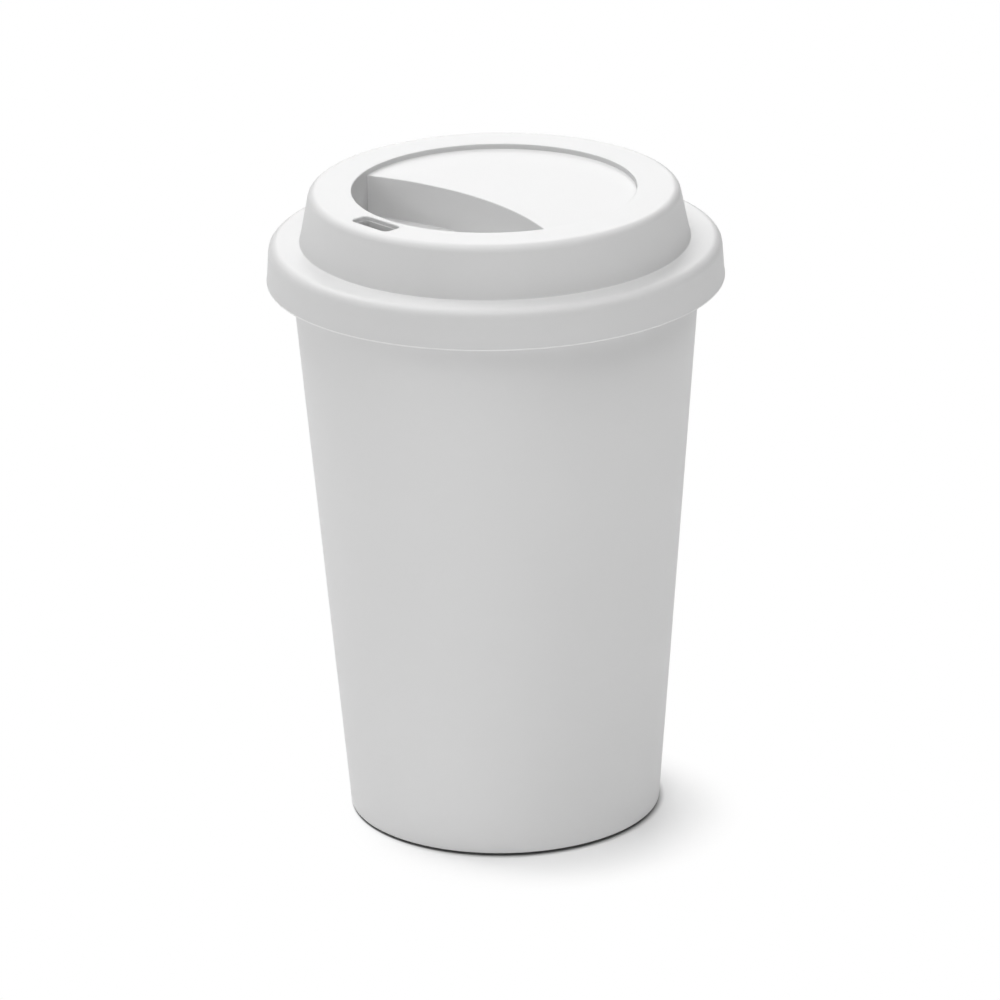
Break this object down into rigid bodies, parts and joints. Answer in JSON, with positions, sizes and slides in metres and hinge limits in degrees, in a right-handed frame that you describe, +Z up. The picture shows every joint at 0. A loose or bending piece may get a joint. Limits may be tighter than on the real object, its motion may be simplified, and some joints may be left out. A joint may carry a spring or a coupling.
{
  "type": "reusable plastic cup",
  "caption": "Tapered reusable drinking cup with a foot ring, a turned-over lip and a press-on domed lid that has a crescent drinking well and a collared slot through its rim.",
  "frame": {"origin": "centre of the foot ring, on the surface that the cup stands on", "axes": "+Z up along the axis of the cup, from the base to the lid; the drink slot and the drinking well face -Y; +X to the drinker's right, seen from the slot side"},
  "size_m": [0.096, 0.096, 0.1374],
  "materials": {
    "cup_plastic": "fine satin moulded polypropylene, pale grey-white",
    "lid_plastic": "fine satin moulded polypropylene, pale grey-white"
  },
  "bodies": {
    "cup": {"cup": "cup_plastic"},
    "lid": {"lid": "lid_plastic"}
  },
  "joints": [
    {"name": "lid_lift", "type": "slide", "parent": "cup", "child": "lid", "axis": [0, 0, 1], "range_m": [0, 0.04]}
  ]
}
